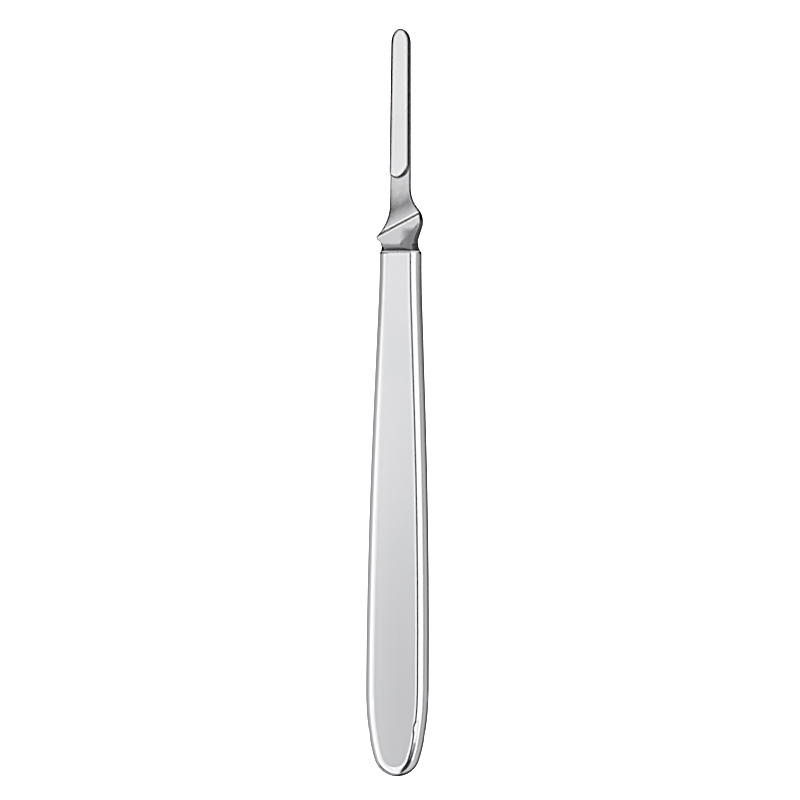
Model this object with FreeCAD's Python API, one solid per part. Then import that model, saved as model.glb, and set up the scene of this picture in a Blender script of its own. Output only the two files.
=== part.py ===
import FreeCAD, Part
import math
import os

os.makedirs("parts", exist_ok=True)
V = FreeCAD.Vector

# The handle lies on its back face. X runs across it, Y along it with the blade end at +Y,
# and Z is up. The origin is the middle of its footprint, on the surface it lies on.
# Places on the blade fitting are worked out as distances back from its tip.

# Whole handle, from the tip of the fitting to the shoulder, on to the grip, and to the butt
wholeLength = 165.0
shoulderMiddle = 43.1
neckLength = 5.9

# Grip: the long flat part with full round sides and a round butt
gripThickness = 4.8
gripFrontWidth = 9.36
gripGreatestWidth = 14.18
sideFlat = 0.1
gripFrontRound = 0.45

# Outline of the grip: each flank hollows, runs straight, then swells to the greatest width,
# and the butt closes in three arcs. The shares are parts of the flank's length and of its radii.
flankStraightShare = 0.257
flankHollowShare = 0.152
buttSideRadius = 66.0
buttSideTurn = 10.35
buttCornerRadius = 28.0
buttCornerTurn = 8.5

# Blade fitting: a thin plate that carries a long key with a groove along each side
fittingOffset = -0.15
plateBelowMiddle = 0.45
plateThickness = 1.0
plateTipWidth = 4.0
plateRearWidth = 4.5
tipRoundLength = 3.2

# Key: its cap overhangs the grooves. Its rear end is round and slanted, and each point of that
# end has its distance ahead of the shoulder.
grooveHeight = 0.5
grooveDepth = 0.55
keyCapThickness = 0.7
keyEdgeRound = 0.35
keySideStep = 0.06
keyLeftAhead = 11.15
keyMostAhead = 10.3
keyRearMostX = -0.1
keyTurnBehind = 1.3
keyRearTurnX = 1.5
keyRightAhead = 12.8

# Shoulder: the slanted step that the heel of the blade stops against, and the ramp before it,
# which rises in a hollow and rounds off to the shoulder's foot
shoulderAngle = 27.0
shoulderStep = 0.55
shoulderRound = 0.3
footRound = 0.2
rampRise = 0.4
rampHollowLength = 4.5
rampRoundLength = 3.0

# Right side of the fitting: arcs and a line from the plate back to the grip, tangent to each other.
# Radii and lines are shares of how far the grip's end stands out beyond the plate.
rightFlare = 3.0
rightFlareTurn = 40.0
rightBulge = 1.71
rightNotchSlope = 19.0
rightRunIn = 1.03
rightNotch = 1.235
rightNotchOut = 28.0
rightRunOn = 0.26

# Left side, which ends in the shoulder's pointed tip
leftFlare = 3.87
leftFlareTurn = 38.0
leftRunOut = 0.473
leftTip = 0.288
leftNotchSlope = 55.0
leftRunIn = 0.14
leftNotch = 0.535
leftNotchOut = 12.0
leftRunOn = 0.375

# Neck: hollow ground in front, with a long scoop on the right, and on the back. Its corners are
# ground round on each side, and it meets the grip just inside the grip's own section.
frontHollow = 1.8
backFlat = 0.7
neckDrop = 0.35
neckTrim = 0.25
neckBackRise = 0.95
backRampAhead = 6.1
backRampLength = 8.0
scoopAhead = 1.4
scoopAngle = 47.5
scoopSlope = 6.0
scoopRadius = 35.0
rightGrindLength = 1.5
rightGrindDepth = 0.3
leftGrindLength = 1.0
leftGrindDepth = 0.1
rimRound = 0.2
backRimRound = 0.15
neckInsideGrip = 1.5

# Heights and positions that follow from the sizes above
tipY = wholeLength / 2
buttY = -wholeLength / 2
noseLength = shoulderMiddle + neckLength
gripFrontY = tipY - noseLength
middleZ = gripThickness / 2
sideRound = (gripThickness - sideFlat) / 2
plateBack = middleZ - plateBelowMiddle
plateFront = plateBack + plateThickness
keyCapBottom = plateFront + grooveHeight
keyTop = keyCapBottom + keyCapThickness
rampTop = plateFront + rampRise
headTop = rampTop + shoulderStep
neckTop = gripThickness - neckDrop
neckBottom = neckTrim
tipHalf = plateTipWidth / 2
rearHalf = plateRearWidth / 2
sideSpread = gripFrontWidth / 2 - rearHalf
roundX = gripFrontWidth / 2 - middleZ
noseEnd = noseLength + neckInsideGrip
seatSlope = math.radians(shoulderAngle)
keyRearLeft = shoulderMiddle - keyLeftAhead
keyRearMost = shoulderMiddle - keyMostAhead
keyRearRight = shoulderMiddle - keyRightAhead
keyRearTurn = keyRearRight + keyTurnBehind
near = 0.02


def at(x, fromTip, z):
    """A point, placed by its distance back from the tip of the blade fitting."""
    return V(x, tipY - fromTip, z)


def curveThrough(poles):
    curve = Part.BezierCurve()
    curve.setPoles(poles)
    return curve.toShape()


def arcAbout(x, y, radius, start, end):
    """An arc about (x, y) between two angles in degrees, counted from +X towards +Y."""
    places = []
    for angle in (start, (start + end) / 2, end):
        a = math.radians(angle)
        places.append(V(x + radius * math.cos(a), y + radius * math.sin(a), 0))
    return Part.Arc(*places).toShape()


def closedFace(edges):
    return Part.Face(Part.Wire(Part.__sortEdges__(edges)))


def hollowArc(start, end, z0, z1):
    """An arc in the side view that leaves level at (start, z0) and reaches (end, z1)."""
    length = end - start
    rise = z1 - z0
    radius = (length**2 + rise**2) / (2 * rise)
    half = math.asin(length / radius) / 2
    middle = at(0, start + radius * math.sin(half), z0 + radius * (1 - math.cos(half)))
    return Part.Arc(at(0, start, z0), middle, at(0, end, z1)).toShape()


class SideRun:
    """Draws one side of the fitting from the plate back, each arc tangent to what comes before."""

    def __init__(self, side):
        self.side = side
        self.x = rearHalf
        self.back = 0
        self.heading = 0
        self.edges = []

    def place(self, x, back):
        return V(self.side * x + fittingOffset, -back, 0)

    def line(self, share):
        start = self.place(self.x, self.back)
        self.x += share * sideSpread * math.sin(self.heading)
        self.back += share * sideSpread * math.cos(self.heading)
        self.edges.append(Part.makeLine(start, self.place(self.x, self.back)))

    def arc(self, share, turn):
        """An arc that turns by so many degrees, outwards where turn is positive."""
        bend = 1 if turn > 0 else -1
        radius = share * sideSpread
        centreX = self.x + bend * radius * math.cos(self.heading)
        centreBack = self.back - bend * radius * math.sin(self.heading)
        places = []
        for part in (0, 0.5, 1):
            heading = self.heading + math.radians(turn) * part
            self.x = centreX - bend * radius * math.cos(heading)
            self.back = centreBack + bend * radius * math.sin(heading)
            places.append(self.place(self.x, self.back))
        self.edges.append(Part.Arc(*places).toShape())
        self.heading = heading

    def onTheHandle(self):
        """The whole side: the run so far, ending at the grip, with the plate before it."""
        end = self.place(self.x, self.back + neckInsideGrip)
        self.edges.append(Part.makeLine(self.place(self.x, self.back), end))
        move = V(0, gripFrontY + self.back, 0)
        for edge in self.edges:
            edge.translate(move)
        start = at(self.side * tipHalf + fittingOffset, tipRoundLength, 0)
        self.edges.append(Part.makeLine(start, self.place(rearHalf, 0) + move))
        return end + move


def gripSide():
    """The right side of the grip's outline, from its front end to the middle of the butt."""
    half = gripGreatestWidth / 2
    frontHalf = gripFrontWidth / 2
    sideTurn = math.radians(buttSideTurn)
    bothTurns = math.radians(buttSideTurn + buttCornerTurn)
    sideEnd = half - buttSideRadius * (1 - math.cos(sideTurn))
    cornerX = sideEnd - buttCornerRadius * math.cos(sideTurn)
    endRadius = buttCornerRadius + cornerX / math.cos(bothTurns)
    endY = buttY + endRadius
    cornerY = endY + (buttCornerRadius - endRadius) * math.sin(bothTurns)
    wideY = cornerY + (buttSideRadius - buttCornerRadius) * math.sin(sideTurn)
    swell = half - frontHalf
    length = gripFrontY - wideY
    straight = flankStraightShare * length
    radii = (swell**2 + length**2 - straight**2) / (2 * swell)
    hollow = flankHollowShare * radii
    turn = math.degrees(math.atan2(length, radii - swell) - math.atan2(straight, radii))
    flankHollow = arcAbout(frontHalf + hollow, gripFrontY, hollow, 180, 180 + turn)
    flankRound = arcAbout(half - radii + hollow, wideY, radii - hollow, turn, 0)
    line = Part.makeLine(flankHollow.Vertexes[-1].Point, flankRound.Vertexes[0].Point)
    return [
        flankHollow,
        line,
        flankRound,
        arcAbout(half - buttSideRadius, wideY, buttSideRadius, 0, -buttSideTurn),
        arcAbout(cornerX, cornerY, buttCornerRadius, -buttSideTurn, -buttSideTurn - buttCornerTurn),
        arcAbout(0, endY, endRadius, -buttSideTurn - buttCornerTurn, -90),
    ]


def gripBody():
    """The grip: its outline raised to thickness, then its sides and its front end rounded."""
    frontHalf = gripFrontWidth / 2
    edges = [Part.makeLine(V(-frontHalf, gripFrontY, 0), V(frontHalf, gripFrontY, 0))]
    for edge in gripSide():
        edges += [edge, edge.mirror(V(0, 0, 0), V(1, 0, 0))]
    body = closedFace(edges).extrude(V(0, 0, gripThickness))
    longEdges = []
    for edge in body.Edges:
        level = edge.BoundBox.ZLength < near
        atFront = edge.BoundBox.YMin > gripFrontY - near
        if level and not atFront:
            longEdges.append(edge)
    body = body.makeFillet(sideRound, longEdges)
    frontEdges = [edge for edge in body.Edges if edge.BoundBox.YMin > gripFrontY - near]
    return body.makeFillet(gripFrontRound, frontEdges)


def tipCurve():
    """The rounded tip of plate and key, half an ellipse."""
    tip = at(fittingOffset, 0, 0)
    side = at(fittingOffset + tipHalf, tipRoundLength, 0)
    centre = at(fittingOffset, tipRoundLength, 0)
    return Part.ArcOfEllipse(Part.Ellipse(tip, side, centre), -math.pi / 2, math.pi / 2).toShape()


def noseOutline():
    """The fitting seen from above, from its rounded tip to a line inside the grip."""
    right = SideRun(1)
    right.arc(rightFlare, rightFlareTurn)
    right.arc(rightBulge, -rightFlareTurn - rightNotchSlope)
    right.line(rightRunIn)
    right.arc(rightNotch, rightNotchSlope + rightNotchOut)
    right.line(rightRunOn)
    left = SideRun(-1)
    left.arc(leftFlare, leftFlareTurn)
    left.line(leftRunOut)
    left.arc(leftTip, -leftFlareTurn - leftNotchSlope)
    left.line(leftRunIn)
    left.arc(leftNotch, leftNotchSlope + leftNotchOut)
    left.line(leftRunOn)
    close = Part.makeLine(right.onTheHandle(), left.onTheHandle())
    return closedFace([tipCurve(), close] + right.edges + left.edges)


def sideProfile():
    """Plate, head and neck seen from the side, as high as the head up to the tip."""
    frontStart = noseLength - frontHollow
    backRampStart = shoulderMiddle - backRampAhead
    backRampEnd = backRampStart + backRampLength
    backStart = backRampEnd + backFlat
    rampMiddle = (backRampStart + backRampEnd) / 2
    backRamp = curveThrough([
        at(0, backRampEnd, neckBackRise),
        at(0, rampMiddle, neckBackRise),
        at(0, rampMiddle, plateBack),
        at(0, backRampStart, plateBack),
    ])
    return closedFace([
        Part.makeLine(at(0, 0, plateBack), at(0, 0, headTop)),
        Part.makeLine(at(0, 0, headTop), at(0, frontStart, headTop)),
        hollowArc(frontStart, noseLength, headTop, neckTop),
        Part.makeLine(at(0, noseLength, neckTop), at(0, noseEnd, neckTop)),
        Part.makeLine(at(0, noseEnd, neckTop), at(0, noseEnd, neckBottom)),
        Part.makeLine(at(0, noseEnd, neckBottom), at(0, noseLength, neckBottom)),
        hollowArc(backStart, noseLength, neckBackRise, neckBottom),
        Part.makeLine(at(0, backStart, neckBackRise), at(0, backRampEnd, neckBackRise)),
        backRamp,
        Part.makeLine(at(0, backRampStart, plateBack), at(0, 0, plateBack)),
    ])


def scoop():
    """What stands above the head on the right, up a hollow that starts on a slanted line."""
    turn = math.radians(scoopAngle)
    slope = math.radians(scoopSlope)
    along = V(math.cos(turn), math.sin(turn), 0)
    across = V(math.sin(turn), -math.cos(turn), 0)
    start = at(0, noseLength - scoopAhead, headTop)
    reach = gripFrontWidth
    places = []
    for part in (0, 0.5, 1):
        rise = math.tan(slope) * reach * part + (reach * part) ** 2 / (2 * scoopRadius)
        places.append(start + across * (reach * part) + V(0, 0, rise))
    low = V(0, 0, middleZ - headTop)
    face = closedFace([
        Part.Arc(*places).toShape(),
        Part.makeLine(places[2], start + across * reach + low),
        Part.makeLine(start + across * reach + low, start + low),
        Part.makeLine(start + low, start),
    ])
    face.translate(along * -gripGreatestWidth)
    return face.extrude(along * (2 * gripGreatestWidth))


def cornerGrind(side, length, depth):
    """What is ground off one side's corners, from the grip forwards and ever deeper."""
    radius = middleZ - neckTrim
    foot = V(side * roundX, gripFrontY, middleZ)
    kept = Part.makeCone(radius, radius - depth, length, foot, V(0, 1, 0))
    wide = 2 * gripGreatestWidth
    corner = foot - V(0 if side > 0 else wide, 0, wide / 2)
    return Part.makeBox(wide, length, wide, corner).cut(kept)


def insideGrip():
    """The space round the neck's root within the grip, which the neck leaves free."""
    wide = 2 * gripGreatestWidth
    root = at(0, noseEnd, middleZ)
    halfHeight = middleZ - neckTrim
    core = Part.makeBox(2 * roundX, neckInsideGrip, 2 * halfHeight, root - V(roundX, 0, halfHeight))
    for side in (1, -1):
        centre = root + V(side * roundX, 0, 0)
        core = core.fuse(Part.makeCylinder(halfHeight, neckInsideGrip, centre, V(0, 1, 0)))
    block = Part.makeBox(wide, neckInsideGrip, wide, root - V(wide / 2, 0, wide / 2))
    return block.cut(core)


def quarterArc(corner, toStart, toEnd):
    """An arc of a quarter turn that rounds off a square corner, between two offsets from it."""
    middle = corner + (toStart + toEnd) * (1 - math.sqrt(0.5))
    return Part.Arc(corner + toStart, middle, corner + toEnd).toShape()


def seatCutter():
    """All that lies above the plate in front of the slanted shoulder, save the ramp."""
    forward = V(-math.sin(seatSlope), math.cos(seatSlope), 0)
    along = V(math.cos(seatSlope), math.sin(seatSlope), 0)
    up = V(0, 0, 1)
    foot = at(fittingOffset, shoulderMiddle, rampTop)
    edge = foot + up * shoulderStep
    behind = edge - forward * shoulderRound
    half = math.atan(rampRise / (rampHollowLength + rampRoundLength))
    places = [foot + forward * footRound]
    for length, share in ((rampRoundLength, 0), (rampHollowLength, 1)):
        last = places[-1]
        end = last + forward * length - up * (length * math.tan(half))
        bow = length / 2 * math.tan(half / 2) / math.cos(half)
        tilted = forward * math.sin(half) + up * math.cos(half)
        places += [(last + end) / 2 + tilted * (bow if share == 0 else -bow), end]
    rampStart = places[-1]
    far = rampStart + forward * noseLength
    high = up * gripThickness
    face = closedFace([
        Part.makeLine(behind + high, behind),
        quarterArc(edge, forward * -shoulderRound, up * -shoulderRound),
        Part.makeLine(edge - up * shoulderRound, foot + up * footRound),
        quarterArc(foot, up * footRound, forward * footRound),
        Part.Arc(*places[0:3]).toShape(),
        Part.Arc(*places[2:5]).toShape(),
        Part.makeLine(rampStart, far),
        Part.makeLine(far, far + high),
        Part.makeLine(far + high, behind + high),
    ])
    face.translate(along * -noseLength)
    return face.extrude(along * (2 * noseLength))


def rimEdges(body, side):
    """Edges between the upright sides and the front (side 1) or the back (side -1)."""
    found = []
    for edge in body.Edges:
        box = edge.BoundBox
        atEnd = tipY - box.YMin > noseEnd - near
        if atEnd or box.ZLength > box.XLength + box.YLength:
            continue
        rises = []
        for face in body.ancestorsOfType(edge, Part.Face):
            rises.append(face.normalAt(*face.Surface.parameter(edge.CenterOfMass)).z * side)
        if len(rises) == 2 and abs(min(rises, key=abs)) < 0.1 and max(rises) > 0.5:
            found.append(edge)
    return found


def noseBody():
    """Plate, head and neck, with their rims rounded and the seat cut in."""
    raised = noseOutline().extrude(V(0, 0, gripThickness))
    profile = sideProfile()
    profile.translate(V(-gripGreatestWidth, 0, 0))
    body = profile.extrude(V(2 * gripGreatestWidth, 0, 0)).common(raised)
    body = body.makeFillet(rimRound, rimEdges(body, 1))
    body = body.makeFillet(backRimRound, rimEdges(body, -1))
    body = body.fuse(scoop().common(raised))
    body = body.cut(seatCutter())
    body = body.cut(cornerGrind(1, rightGrindLength, rightGrindDepth))
    body = body.cut(cornerGrind(-1, leftGrindLength, leftGrindDepth))
    return body.cut(insideGrip())


def keyBody():
    """The key: its outline raised, its top edge rounded and a groove cut along each side."""
    taper = (rearHalf - tipHalf) / (keyRearMost - tipRoundLength)

    def halfAt(fromTip):
        return tipHalf + taper * (fromTip - tipRoundLength) - keySideStep

    x = fittingOffset
    rightEnd = at(x + halfAt(keyRearRight), keyRearRight, 0)
    leftEnd = at(x - halfAt(keyRearLeft), keyRearLeft, 0)
    rearMost = at(x + keyRearMostX, keyRearMost, 0)
    rear = Part.BSplineCurve()
    rear.interpolate([leftEnd, rearMost, at(x + keyRearTurnX, keyRearTurn, 0), rightEnd])
    outline = closedFace([
        tipCurve(),
        Part.makeLine(at(x + tipHalf, tipRoundLength, 0), rightEnd),
        rear.toShape(),
        Part.makeLine(leftEnd, at(x - tipHalf, tipRoundLength, 0)),
    ])
    outline.translate(V(0, 0, plateFront))
    key = outline.extrude(V(0, 0, keyTop - plateFront))
    topEdges = [edge for edge in key.Edges if edge.BoundBox.ZMin > keyTop - near]
    key = key.makeFillet(keyEdgeRound, topEdges)
    for side in (1, -1):
        beyond = keyRearMost + tipRoundLength
        ahead = at(x + side * (halfAt(-tipRoundLength) - grooveDepth), -tipRoundLength, plateFront)
        behind = at(x + side * (halfAt(beyond) - grooveDepth), beyond, plateFront)
        out = V(side * plateRearWidth, 0, 0)
        groove = Part.Face(Part.makePolygon([ahead, behind, behind + out, ahead + out, ahead]))
        key = key.cut(groove.extrude(V(0, 0, grooveHeight)))
    return key


handle = gripBody().fuse([noseBody(), keyBody()]).removeSplitter()
handle = handle.Solids[0]
handle.exportStep("parts/scalpel_handle.step")
print("scalpel_handle", round(handle.Volume, 1), "cubic mm, valid", handle.isValid())
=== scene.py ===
import math
import bmesh
import bpy
from mathutils import Matrix, Vector

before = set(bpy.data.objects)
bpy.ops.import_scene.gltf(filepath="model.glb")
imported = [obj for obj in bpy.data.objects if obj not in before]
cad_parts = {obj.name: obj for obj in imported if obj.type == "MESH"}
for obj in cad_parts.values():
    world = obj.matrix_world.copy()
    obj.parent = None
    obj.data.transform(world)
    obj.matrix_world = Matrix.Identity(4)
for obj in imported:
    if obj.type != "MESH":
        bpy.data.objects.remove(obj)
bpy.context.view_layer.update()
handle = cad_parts["scalpel_handle"]
mm = 0.001
print("frame loaded")


def linear(hexColour):
    # sRGB hex to the linear values that Blender's sockets hold
    parts = [int(hexColour[i:i + 2], 16) / 255 for i in (1, 3, 5)]
    return [c / 12.92 if c <= 0.04045 else ((c + 0.055) / 1.055) ** 2.4 for c in parts] + [1.0]


def addNode(tree, kind, links=(), stops=(), **settings):
    # links are (input, value or output socket), stops a ramp's (place from 0 to 1, grey value),
    # and settings are the node's own attributes
    node = tree.nodes.new(kind)
    for name, value in settings.items():
        setattr(node, name, value)
    for socket, value in links:
        if isinstance(value, bpy.types.NodeSocket):
            tree.links.new(value, node.inputs[socket])
        else:
            node.inputs[socket].default_value = value
    if stops:
        node.color_ramp.interpolation = "EASE"
    for i, (place, value) in enumerate(stops):
        element = node.color_ramp.elements[i] if i < 2 else node.color_ramp.elements.new(place)
        element.position = place
        element.color = (value, value, value, 1)
    return node


# the camera stands at the photograph's angle
shot = {
    "tilt": 15.0,       # degrees from straight above, towards the handle's right side
    "lean": 0.45,       # degrees that the blade end leans to the right in the picture
    "lens": 120.0,      # mm, on a 36 mm sensor
    "distance": 0.589,  # metres
    "aimRight": 0.10,   # mm from the handle's middle, to the right and up in the picture
    "aimUp": 0.62,
    "aimHeight": 2.4,
}

tilt = math.radians(shot["tilt"])
lean = math.radians(shot["lean"])
back = Vector((math.sin(tilt), 0, math.cos(tilt)))
side = Vector((math.cos(tilt), 0, -math.sin(tilt)))
right = side * math.cos(lean) + Vector((0, 1, 0)) * math.sin(lean)
up = Vector((0, 1, 0)) * math.cos(lean) - side * math.sin(lean)
target = Vector((0, 0, shot["aimHeight"] * mm))
target += right * shot["aimRight"] * mm + up * shot["aimUp"] * mm
camera = bpy.data.objects.new("camera", bpy.data.cameras.new("camera"))
camera.data.lens = shot["lens"]
camera.data.sensor_width = 36
camera.data.clip_start = 0.01
turned = Matrix((right, up, back)).transposed().to_4x4()
camera.matrix_world = Matrix.Translation(target + back * shot["distance"]) @ turned
bpy.context.scene.collection.objects.link(camera)
bpy.context.scene.camera = camera
print("camera set")

# a light tent round the handle, with soft white panels and black cards in it, as for polished metal.
# Round is degrees from straight up towards the handle's right side, along is degrees from there
# towards its blade end.
tent = {
    "strength": 1.0,
    # the tent's own light, going round the handle
    "round": [(-180, 0.12), (-165, 0.18), (-150, 0.42), (-132, 0.60), (-95, 0.72), (-74, 0.92),
              (-63, 1.50), (-47, 1.50), (-34, 1.32), (-24, 1.16), (-18, 1.40), (-8, 1.28), (1, 1.24),
              (7, 0.05), (14, 0.05), (20, 1.50), (64, 1.50), (78, 0.54), (100, 0.74), (122, 0.62),
              (138, 0.38), (152, 0.22), (180, 0.12)],
    # the ceiling that the flat faces mirror, going along the handle
    "along": [(-90, 0.75), (-5.3, 0.76), (-4.6, 0.80), (-3.8, 0.88), (-3.0, 0.96), (-2.3, 1.03),
              (-1.2, 1.06), (2.2, 1.08), (4.5, 1.18), (8.4, 1.22), (12, 1.00), (19.5, 0.68),
              (28, 0.50), (37, 0.40), (45, 0.32), (55, 0.22), (90, 0.08)],
    # the ceiling's window and that of its front end: the degrees round, then the degrees along,
    # at which it starts, is full, starts to fade and ends
    "ceiling": ((-22, -14.8, -12, -9), (-16, -13, 90, 91)),
    "frontEnd": ((-30, -25, -10, -4), (8.4, 11, 90, 91)),
    # grey ends of the tent, under the ceiling: their windows and light
    "ends": [
        ((-182, -181, 181, 182), (22, 30, 90, 91), 0.80),
        ((44, 56, 100, 110), (-91, -90, -34, -24), 0.78),
    ],
    # cards over everything, with their windows and light
    "cards": [
        ((-182, -181, -22.5, -16.3), (4.6, 4.9, 22, 30), 0.07),  # black, left of the blade fitting
        ((98, 108, 181, 182), (4.6, 4.9, 22, 30), 0.02),         # black, right of the blade fitting
        ((8, 12, 42, 54), (-91, -90, -19, -12), 0.07),           # black, behind the butt on the right
        ((-102, -94, -84, -76), (-72, -60, -38, -30), 0.12),     # black, behind the butt on the left
    ],
}


def layCard(tree, below, places, windows, light):
    # a card over the light below it, faded by how far each place is inside its window
    masks = []
    for place, (start, full, fade, end) in zip(places, windows):
        rise = addNode(tree, "ShaderNodeMapRange", [(0, place), (1, start), (2, full)],
                       interpolation_type="SMOOTHSTEP").outputs[0]
        fall = addNode(tree, "ShaderNodeMapRange", [(0, place), (1, fade), (2, end), (3, 1), (4, 0)],
                       interpolation_type="SMOOTHSTEP").outputs[0]
        masks.append(addNode(tree, "ShaderNodeMath", [(0, rise), (1, fall)],
                             operation="MULTIPLY").outputs[0])
    mask = addNode(tree, "ShaderNodeMath", [(0, masks[0]), (1, masks[1])],
                   operation="MULTIPLY").outputs[0]
    return addNode(tree, "ShaderNodeMix", [(0, mask), (2, below), (3, light)],
                   data_type="FLOAT").outputs[0]


def lightTent():
    world = bpy.data.worlds.new("lightTent")
    bpy.context.scene.world = world
    world.use_nodes = True
    tree = world.node_tree
    tree.nodes.clear()
    where = addNode(tree, "ShaderNodeTexCoord").outputs["Generated"]
    axes = addNode(tree, "ShaderNodeSeparateXYZ", [(0, where)]).outputs
    angle = addNode(tree, "ShaderNodeMath", [(0, axes["X"]), (1, axes["Z"])],
                    operation="ARCTAN2").outputs[0]
    roundIt = addNode(tree, "ShaderNodeMath", [(0, angle)], operation="DEGREES").outputs[0]
    angle = addNode(tree, "ShaderNodeMath", [(0, axes["Y"])], operation="ARCSINE").outputs[0]
    alongIt = addNode(tree, "ShaderNodeMath", [(0, angle)], operation="DEGREES").outputs[0]
    place = addNode(tree, "ShaderNodeMapRange", [(0, roundIt), (1, -180), (2, 180)]).outputs[0]
    # ramps hold half the light, because a ramp's colours end at 1
    stops = [((degrees + 180) / 360, light / 2) for degrees, light in tent["round"]]
    half = addNode(tree, "ShaderNodeValToRGB", [(0, place)], stops).outputs[0]
    light = addNode(tree, "ShaderNodeMath", [(0, half), (1, 2.0)], operation="MULTIPLY").outputs[0]
    place = addNode(tree, "ShaderNodeMapRange", [(0, alongIt), (1, -90), (2, 90)]).outputs[0]
    stops = [((degrees + 90) / 180, value / 2) for degrees, value in tent["along"]]
    half = addNode(tree, "ShaderNodeValToRGB", [(0, place)], stops).outputs[0]
    ceiling = addNode(tree, "ShaderNodeMath", [(0, half), (1, 2.0)], operation="MULTIPLY").outputs[0]
    overhead = [tent[part] + (ceiling,) for part in ("ceiling", "frontEnd")]
    layers = tent["ends"] + overhead + tent["cards"]
    for *windows, shade in layers:
        light = layCard(tree, light, (roundIt, alongIt), windows, shade)
    background = addNode(tree, "ShaderNodeBackground",
                         [("Color", light), ("Strength", tent["strength"])])
    addNode(tree, "ShaderNodeOutputWorld", [("Surface", background.outputs[0])])


lightTent()

# plain white floor, hidden from mirrors so that the steel shows the tent all round
paper = {"colour": "#f4f4f2", "glow": 0.8, "halfSize": 40.0}  # metres
floorMesh = bmesh.new()
bmesh.ops.create_grid(floorMesh, x_segments=1, y_segments=1, size=paper["halfSize"])
floorData = bpy.data.meshes.new("floor")
floorMesh.to_mesh(floorData)
floorMesh.free()
floor = bpy.data.objects.new("floor", floorData)
bpy.context.scene.collection.objects.link(floor)
floor.visible_glossy = False
paperFloor = bpy.data.materials.new("paperFloor")
paperFloor.use_nodes = True
shader = paperFloor.node_tree.nodes["Principled BSDF"]
shader.inputs["Base Color"].default_value = linear(paper["colour"])
shader.inputs["Roughness"].default_value = 0.9
shader.inputs["Emission Color"].default_value = (1, 1, 1, 1)
shader.inputs["Emission Strength"].default_value = paper["glow"]
floorData.materials.append(paperFloor)
print("light and floor made")

# martensitic stainless steel. Grip and key are buffed, which gives clear mirror bands with soft ends;
# seat, neck and plate are ground and glass-beaded, which leaves a satin grey.
steelLook = {
    "buffed": "#d5d5d7",
    "buffedDull": "#cecfd1",     # where handling and washing have dulled it
    "satin": "#c6c6c8",
    "rimPaintedShade": "#3c3d3f",            # painted shade: a dark line along the edges of the blade fitting, in place of the dark reflection at its rims
    "rimPaintedShadeShare": 0.85,
    # beside the shoulder; the photo has it bright, perhaps rubbed by blades
    "shoulderPaintedHighlight": "#ededee",      # painted highlight: a bright band next to the shoulder, in place of the mirror lines along its edges
    "shoulder": (-0.15, 39.4, 27.0),  # mm across and along to its middle, and degrees that it slants
    "shoulderWidth": (0.50, 0.75),    # mm from its line to where the bright band fades, and ends
    "shoulderBottom": 3.20,      # mm above the table
    "buffedRoughness": 0.09,
    "satinRoughness": 0.17,
    "neckFront": 33.49,          # mm along the handle, where the grip's buffing starts
    "keyRear": 48.0,             # mm along the handle, well behind the key
    "keyBottom": 3.40,           # mm above the table, under the key's cap
    "buffedEdge": (0.65, 0.30),  # mm over which buffing softens an edge, near the grip's front and butt
    "buffedEdgeAt": (20, -60),   # mm along the handle to those two places
    "satinEdge": 0.60,           # the same on the satin parts
    "root": "#98989b",           # painted shade: a darker patch on the right of the neck, just ahead of the grip's front end
    "rootRoughness": 0.42,
    "rootPlace": (2.4, 39.0),    # mm across, to where it is full, and along, to where it starts
    "rootFade": (2.6, 1.5),      # mm across and along over which it fades in
    "crown": 0.8,                # degrees that buffing has tipped the flat faces towards their sides
    "crownAt": 7.0,              # mm from the middle line, where they are tipped by that
    "buffLine": 0.35,            # mm between buffing lines; real ones are 0.05 mm, too fine to show
    "buffLength": 14.0,          # mm that such a line runs
    "grindLine": 0.30,           # mm between grinding lines; real ones are 0.1 mm, too fine to show
    "grindAngle": 27.0,          # degrees that they slant, as the shoulder does
    "mottle": 2.4,               # mm across the soft patches of the satin parts
    "haze": 9.6,                 # mm across the patches that handling dulled
    "scratch": 7.0,              # mm between fine scratches
    "scratchWidth": 0.012,       # share of that
    "scratchAngles": (68, -75),  # degrees from across the handle that the two sets lie
    "scratchPatches": (0.50, 0.62),  # haze at which they start to show, and at which they show fully
    "hazePatches": (0.35, 0.75),  # haze at which it starts to dull the colour, and at its dullest
    "hazeShare": 0.5,
    # roughness that each adds
    "dulling": {"lines": 0.05, "haze": 0.03, "scratches": 0.02, "edges": 0.05},
    # mm high or deep
    "relief": {"mottle": 0.030, "grindLines": 0.0010, "buffLines": 0.0003, "scratches": -0.0004},
    # upward part of the softened normal between which an edge fades in from the flat face, and out
    # at the wall
    "edgeFromFace": (0.975, 0.88),
    "edgeFromWall": (0.05, 0.35),
}


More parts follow.
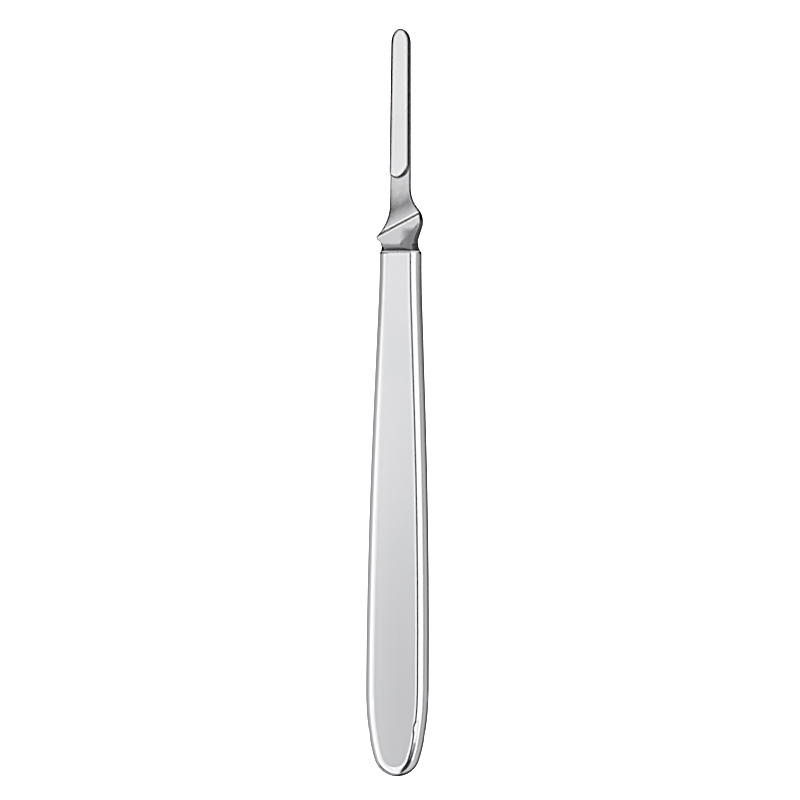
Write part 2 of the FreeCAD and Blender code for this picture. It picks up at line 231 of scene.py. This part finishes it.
def steelMaterial(look):
    material = bpy.data.materials.new("buffedStainlessSteel")
    material.use_nodes = True
    tree = material.node_tree
    shader = tree.nodes["Principled BSDF"]
    shader.inputs["Metallic"].default_value = 1
    place = addNode(tree, "ShaderNodeTexCoord").outputs["Object"]
    axes = addNode(tree, "ShaderNodeSeparateXYZ", [(0, place)]).outputs

    # 1 on the buffed parts and 0 on the satin ones
    onGrip = addNode(tree, "ShaderNodeMath", [(0, axes["Y"]), (1, look["neckFront"] * mm)],
                     operation="LESS_THAN").outputs[0]
    alongKey = addNode(tree, "ShaderNodeMath", [(0, axes["Y"]), (1, look["keyRear"] * mm)],
                       operation="GREATER_THAN").outputs[0]
    high = addNode(tree, "ShaderNodeMath", [(0, axes["Z"]), (1, look["keyBottom"] * mm)],
                   operation="GREATER_THAN").outputs[0]
    onKey = addNode(tree, "ShaderNodeMath", [(0, alongKey), (1, high)], operation="MULTIPLY").outputs[0]
    buffed = addNode(tree, "ShaderNodeMath", [(0, onGrip), (1, onKey)], operation="MAXIMUM").outputs[0]

    # edges: buffing rounds them, and handling dulls them a little; off the grip this mask also paints a
    # dark shade along them
    (frontReach, buttReach), (front, butt) = look["buffedEdge"], look["buffedEdgeAt"]
    reach = addNode(tree, "ShaderNodeMapRange",
                    [(0, axes["Y"]), (1, front * mm), (2, butt * mm),
                     (3, frontReach * mm), (4, buttReach * mm)]).outputs[0]
    reach = addNode(tree, "ShaderNodeMapRange",
                    [(0, buffed), (3, look["satinEdge"] * mm), (4, reach)]).outputs[0]
    soft = addNode(tree, "ShaderNodeBevel", [(0, reach)], samples=6).outputs[0]
    upward = addNode(tree, "ShaderNodeSeparateXYZ", [(0, soft)]).outputs["Z"]
    upward = addNode(tree, "ShaderNodeMath", [(0, upward)], operation="ABSOLUTE").outputs[0]
    start, full = look["edgeFromFace"]
    fromFace = addNode(tree, "ShaderNodeMapRange", [(0, upward), (1, start), (2, full)],
                       interpolation_type="SMOOTHSTEP").outputs[0]
    start, full = look["edgeFromWall"]
    fromWall = addNode(tree, "ShaderNodeMapRange", [(0, upward), (1, start), (2, full)],
                       interpolation_type="SMOOTHSTEP").outputs[0]
    edge = addNode(tree, "ShaderNodeMath", [(0, fromFace), (1, fromWall)], operation="MULTIPLY").outputs[0]

    # painted highlight: a bright band next to the shoulder's line, on both sides of it
    x, y, slant = look["shoulder"]
    slant = math.radians(slant)
    squareToIt = (-math.sin(slant), math.cos(slant), 0)
    ahead = addNode(tree, "ShaderNodeVectorMath", [(0, place), (1, squareToIt)],
                    operation="DOT_PRODUCT").outputs["Value"]
    middle = (y * math.cos(slant) - x * math.sin(slant)) * mm
    away = addNode(tree, "ShaderNodeMath", [(0, ahead), (1, middle)], operation="SUBTRACT").outputs[0]
    away = addNode(tree, "ShaderNodeMath", [(0, away)], operation="ABSOLUTE").outputs[0]
    fade, end = look["shoulderWidth"]
    near = addNode(tree, "ShaderNodeMapRange", [(0, away), (1, end * mm), (2, fade * mm)],
                   interpolation_type="SMOOTHSTEP").outputs[0]
    above = addNode(tree, "ShaderNodeMath", [(0, axes["Z"]), (1, look["shoulderBottom"] * mm)],
                    operation="GREATER_THAN").outputs[0]
    shoulderHighlightMask = addNode(tree, "ShaderNodeMath", [(0, near), (1, above)], operation="MULTIPLY").outputs[0]

    # buffing lines run lengthwise, grinding lines slant across
    size = (1 / (look["buffLine"] * mm), 1 / (look["buffLength"] * mm), 1 / (look["buffLine"] * mm))
    long = addNode(tree, "ShaderNodeMapping", [(0, place), ("Scale", size)]).outputs[0]
    buffLines = addNode(tree, "ShaderNodeTexNoise",
                        [("Vector", long), ("Scale", 1.0), ("Detail", 3.0)]).outputs[0]
    turn = (0, 0, math.radians(-look["grindAngle"]))
    size = (1 / (12 * look["grindLine"] * mm), 1 / (look["grindLine"] * mm), 1 / (look["grindLine"] * mm))
    slanted = addNode(tree, "ShaderNodeMapping", [(0, place), ("Rotation", turn)]).outputs[0]
    slanted = addNode(tree, "ShaderNodeVectorMath", [(0, slanted), (1, size)],
                      operation="MULTIPLY").outputs[0]
    grindLines = addNode(tree, "ShaderNodeTexNoise",
                         [("Vector", slanted), ("Scale", 1.0), ("Detail", 2.0)]).outputs[0]
    mottle = addNode(tree, "ShaderNodeTexNoise",
                     [("Vector", place), ("Scale", 1 / (look["mottle"] * mm)), ("Detail", 1.0)]).outputs[0]
    haze = addNode(tree, "ShaderNodeTexNoise",
                   [("Vector", place), ("Scale", 1 / (look["haze"] * mm)), ("Detail", 2.0)]).outputs[0]

    # fine scratches: the borders of long thin cells that lie two ways
    scratches = None
    for degrees in look["scratchAngles"]:
        turn = (0, 0, math.radians(degrees))
        lay = addNode(tree, "ShaderNodeMapping", [(0, place), ("Rotation", turn)]).outputs[0]
        size = (1 / (3 * look["scratch"] * mm), 1 / (look["scratch"] * mm), 1 / (look["scratch"] * mm))
        lay = addNode(tree, "ShaderNodeVectorMath", [(0, lay), (1, size)], operation="MULTIPLY").outputs[0]
        cells = addNode(tree, "ShaderNodeTexVoronoi", [("Vector", lay), ("Scale", 1.0)],
                        feature="DISTANCE_TO_EDGE").outputs[0]
        thin = addNode(tree, "ShaderNodeMapRange",
                       [(0, cells), (1, 0.0), (2, look["scratchWidth"]), (3, 1), (4, 0)]).outputs[0]
        if scratches:
            thin = addNode(tree, "ShaderNodeMath", [(0, scratches), (1, thin)],
                           operation="MAXIMUM").outputs[0]
        scratches = thin
    start, full = look["scratchPatches"]
    patchy = addNode(tree, "ShaderNodeMapRange", [(0, haze), (1, start), (2, full)]).outputs[0]
    scratches = addNode(tree, "ShaderNodeMath", [(0, scratches), (1, patchy)],
                        operation="MULTIPLY").outputs[0]

    # colour: the satin parts are darker, and haze dulls the buffed ones in broad patches
    start, full = look["hazePatches"]
    dull = addNode(tree, "ShaderNodeMapRange",
                   [(0, haze), (1, start), (2, full), (4, look["hazeShare"])]).outputs[0]
    bright = addNode(tree, "ShaderNodeMix",
                     [(0, dull), (6, linear(look["buffed"])), (7, linear(look["buffedDull"]))],
                     data_type="RGBA").outputs[2]
    colour = addNode(tree, "ShaderNodeMix", [(0, buffed), (6, linear(look["satin"])), (7, bright)],
                     data_type="RGBA").outputs[2]
    offGrip = addNode(tree, "ShaderNodeMath", [(0, 1.0), (1, onGrip)], operation="SUBTRACT").outputs[0]
    # painted shade: a darker, rougher patch on the right of the neck ahead of the grip
    (across, along), (fadeAcross, fadeAlong) = look["rootPlace"], look["rootFade"]
    root = addNode(tree, "ShaderNodeMapRange",
                   [(0, axes["X"]), (1, (across - fadeAcross) * mm), (2, across * mm)],
                   interpolation_type="SMOOTHSTEP").outputs[0]
    behind = addNode(tree, "ShaderNodeMapRange",
                     [(0, axes["Y"]), (1, along * mm), (2, (along - fadeAlong) * mm)],
                     interpolation_type="SMOOTHSTEP").outputs[0]
    for mask in (behind, offGrip):
        root = addNode(tree, "ShaderNodeMath", [(0, root), (1, mask)], operation="MULTIPLY").outputs[0]
    colour = addNode(tree, "ShaderNodeMix", [(0, root), (6, colour), (7, linear(look["root"]))],
                     data_type="RGBA").outputs[2]
    # painted highlight next to the shoulder
    colour = addNode(tree, "ShaderNodeMix", [(0, shoulderHighlightMask), (6, colour), (7, linear(look["shoulderPaintedHighlight"]))],
                     data_type="RGBA").outputs[2]
    # painted shade: darken every edge off the grip towards the dark outline colour
    rimPaintedShade = addNode(tree, "ShaderNodeMath", [(0, offGrip), (1, edge)], operation="MULTIPLY").outputs[0]
    rimPaintedShade = addNode(tree, "ShaderNodeMath", [(0, rimPaintedShade), (1, look["rimPaintedShadeShare"])],
                  operation="MULTIPLY").outputs[0]
    colour = addNode(tree, "ShaderNodeMix", [(0, rimPaintedShade), (6, colour), (7, linear(look["rimPaintedShade"]))],
                     data_type="RGBA").outputs[2]
    tree.links.new(colour, shader.inputs["Base Color"])

    # roughness: lines, haze, scratches and edges over the two finishes
    rough = addNode(tree, "ShaderNodeMapRange",
                    [(0, buffed), (3, look["satinRoughness"]), (4, look["buffedRoughness"])]).outputs[0]
    rough = addNode(tree, "ShaderNodeMix", [(0, root), (2, rough), (3, look["rootRoughness"])],
                    data_type="FLOAT").outputs[0]
    lines = addNode(tree, "ShaderNodeMix", [(0, buffed), (2, grindLines), (3, buffLines)],
                    data_type="FLOAT").outputs[0]
    for name, source in (("lines", lines), ("haze", haze), ("scratches", scratches), ("edges", edge)):
        rough = addNode(tree, "ShaderNodeMath", [(0, source), (1, look["dulling"][name]), (2, rough)],
                        operation="MULTIPLY_ADD").outputs[0]
    tree.links.new(rough, shader.inputs["Roughness"])

    # relief: the crown of the flat faces, then shallow mottle, and lines of a micrometre or less
    tip = (math.tan(math.radians(look["crown"])) / (look["crownAt"] * mm), 0, 0)
    crowned = addNode(tree, "ShaderNodeVectorMath", [(0, place), (1, tip), (2, soft)],
                      operation="MULTIPLY_ADD").outputs[0]
    normal = addNode(tree, "ShaderNodeVectorMath", [(0, crowned)], operation="NORMALIZE").outputs[0]
    satin = addNode(tree, "ShaderNodeMath", [(0, 1.0), (1, buffed)], operation="SUBTRACT").outputs[0]
    for name, height, where in (("mottle", mottle, satin), ("grindLines", grindLines, satin),
                                ("buffLines", buffLines, buffed), ("scratches", scratches, buffed)):
        normal = addNode(tree, "ShaderNodeBump",
                         [("Strength", where), ("Distance", look["relief"][name] * mm),
                          ("Height", height), ("Normal", normal)]).outputs[0]
    tree.links.new(normal, shader.inputs["Normal"])
    return material


handle.material_slots[0].material = steelMaterial(steelLook)
print("steel made")

# the photograph was sharpened, which gives every edge a light and a dark fringe. Radius is in
# pixels, and gamma turns the render to shown values and back.
sharpening = {"amount": 0.8, "radius": 5, "gamma": 2.2}


def sharpen(look):
    scene = bpy.context.scene
    scene.use_nodes = True
    tree = scene.node_tree
    tree.nodes.clear()
    white = (1, 1, 1, 1)
    picture = addNode(tree, "CompositorNodeRLayers").outputs["Image"]
    clipped = addNode(tree, "CompositorNodeMixRGB", [(0, 1.0), (1, picture), (2, white)],
                      blend_type="DARKEN").outputs[0]
    shown = addNode(tree, "CompositorNodeGamma", [(0, clipped), (1, 1 / look["gamma"])]).outputs[0]
    blurred = addNode(tree, "CompositorNodeBlur", [(0, shown)], filter_type="GAUSS",
                      size_x=look["radius"], size_y=look["radius"]).outputs[0]
    detail = addNode(tree, "CompositorNodeMixRGB", [(0, 1.0), (1, shown), (2, blurred)],
                     blend_type="SUBTRACT").outputs[0]
    crisp = addNode(tree, "CompositorNodeMixRGB", [(0, look["amount"]), (1, shown), (2, detail)],
                    blend_type="ADD", use_clamp=True).outputs[0]
    linearAgain = addNode(tree, "CompositorNodeGamma", [(0, crisp), (1, look["gamma"])]).outputs[0]
    addNode(tree, "CompositorNodeComposite", [(0, linearAgain)])


sharpen(sharpening)
bpy.context.scene.view_settings.view_transform = "Standard"
print("picture finish set")
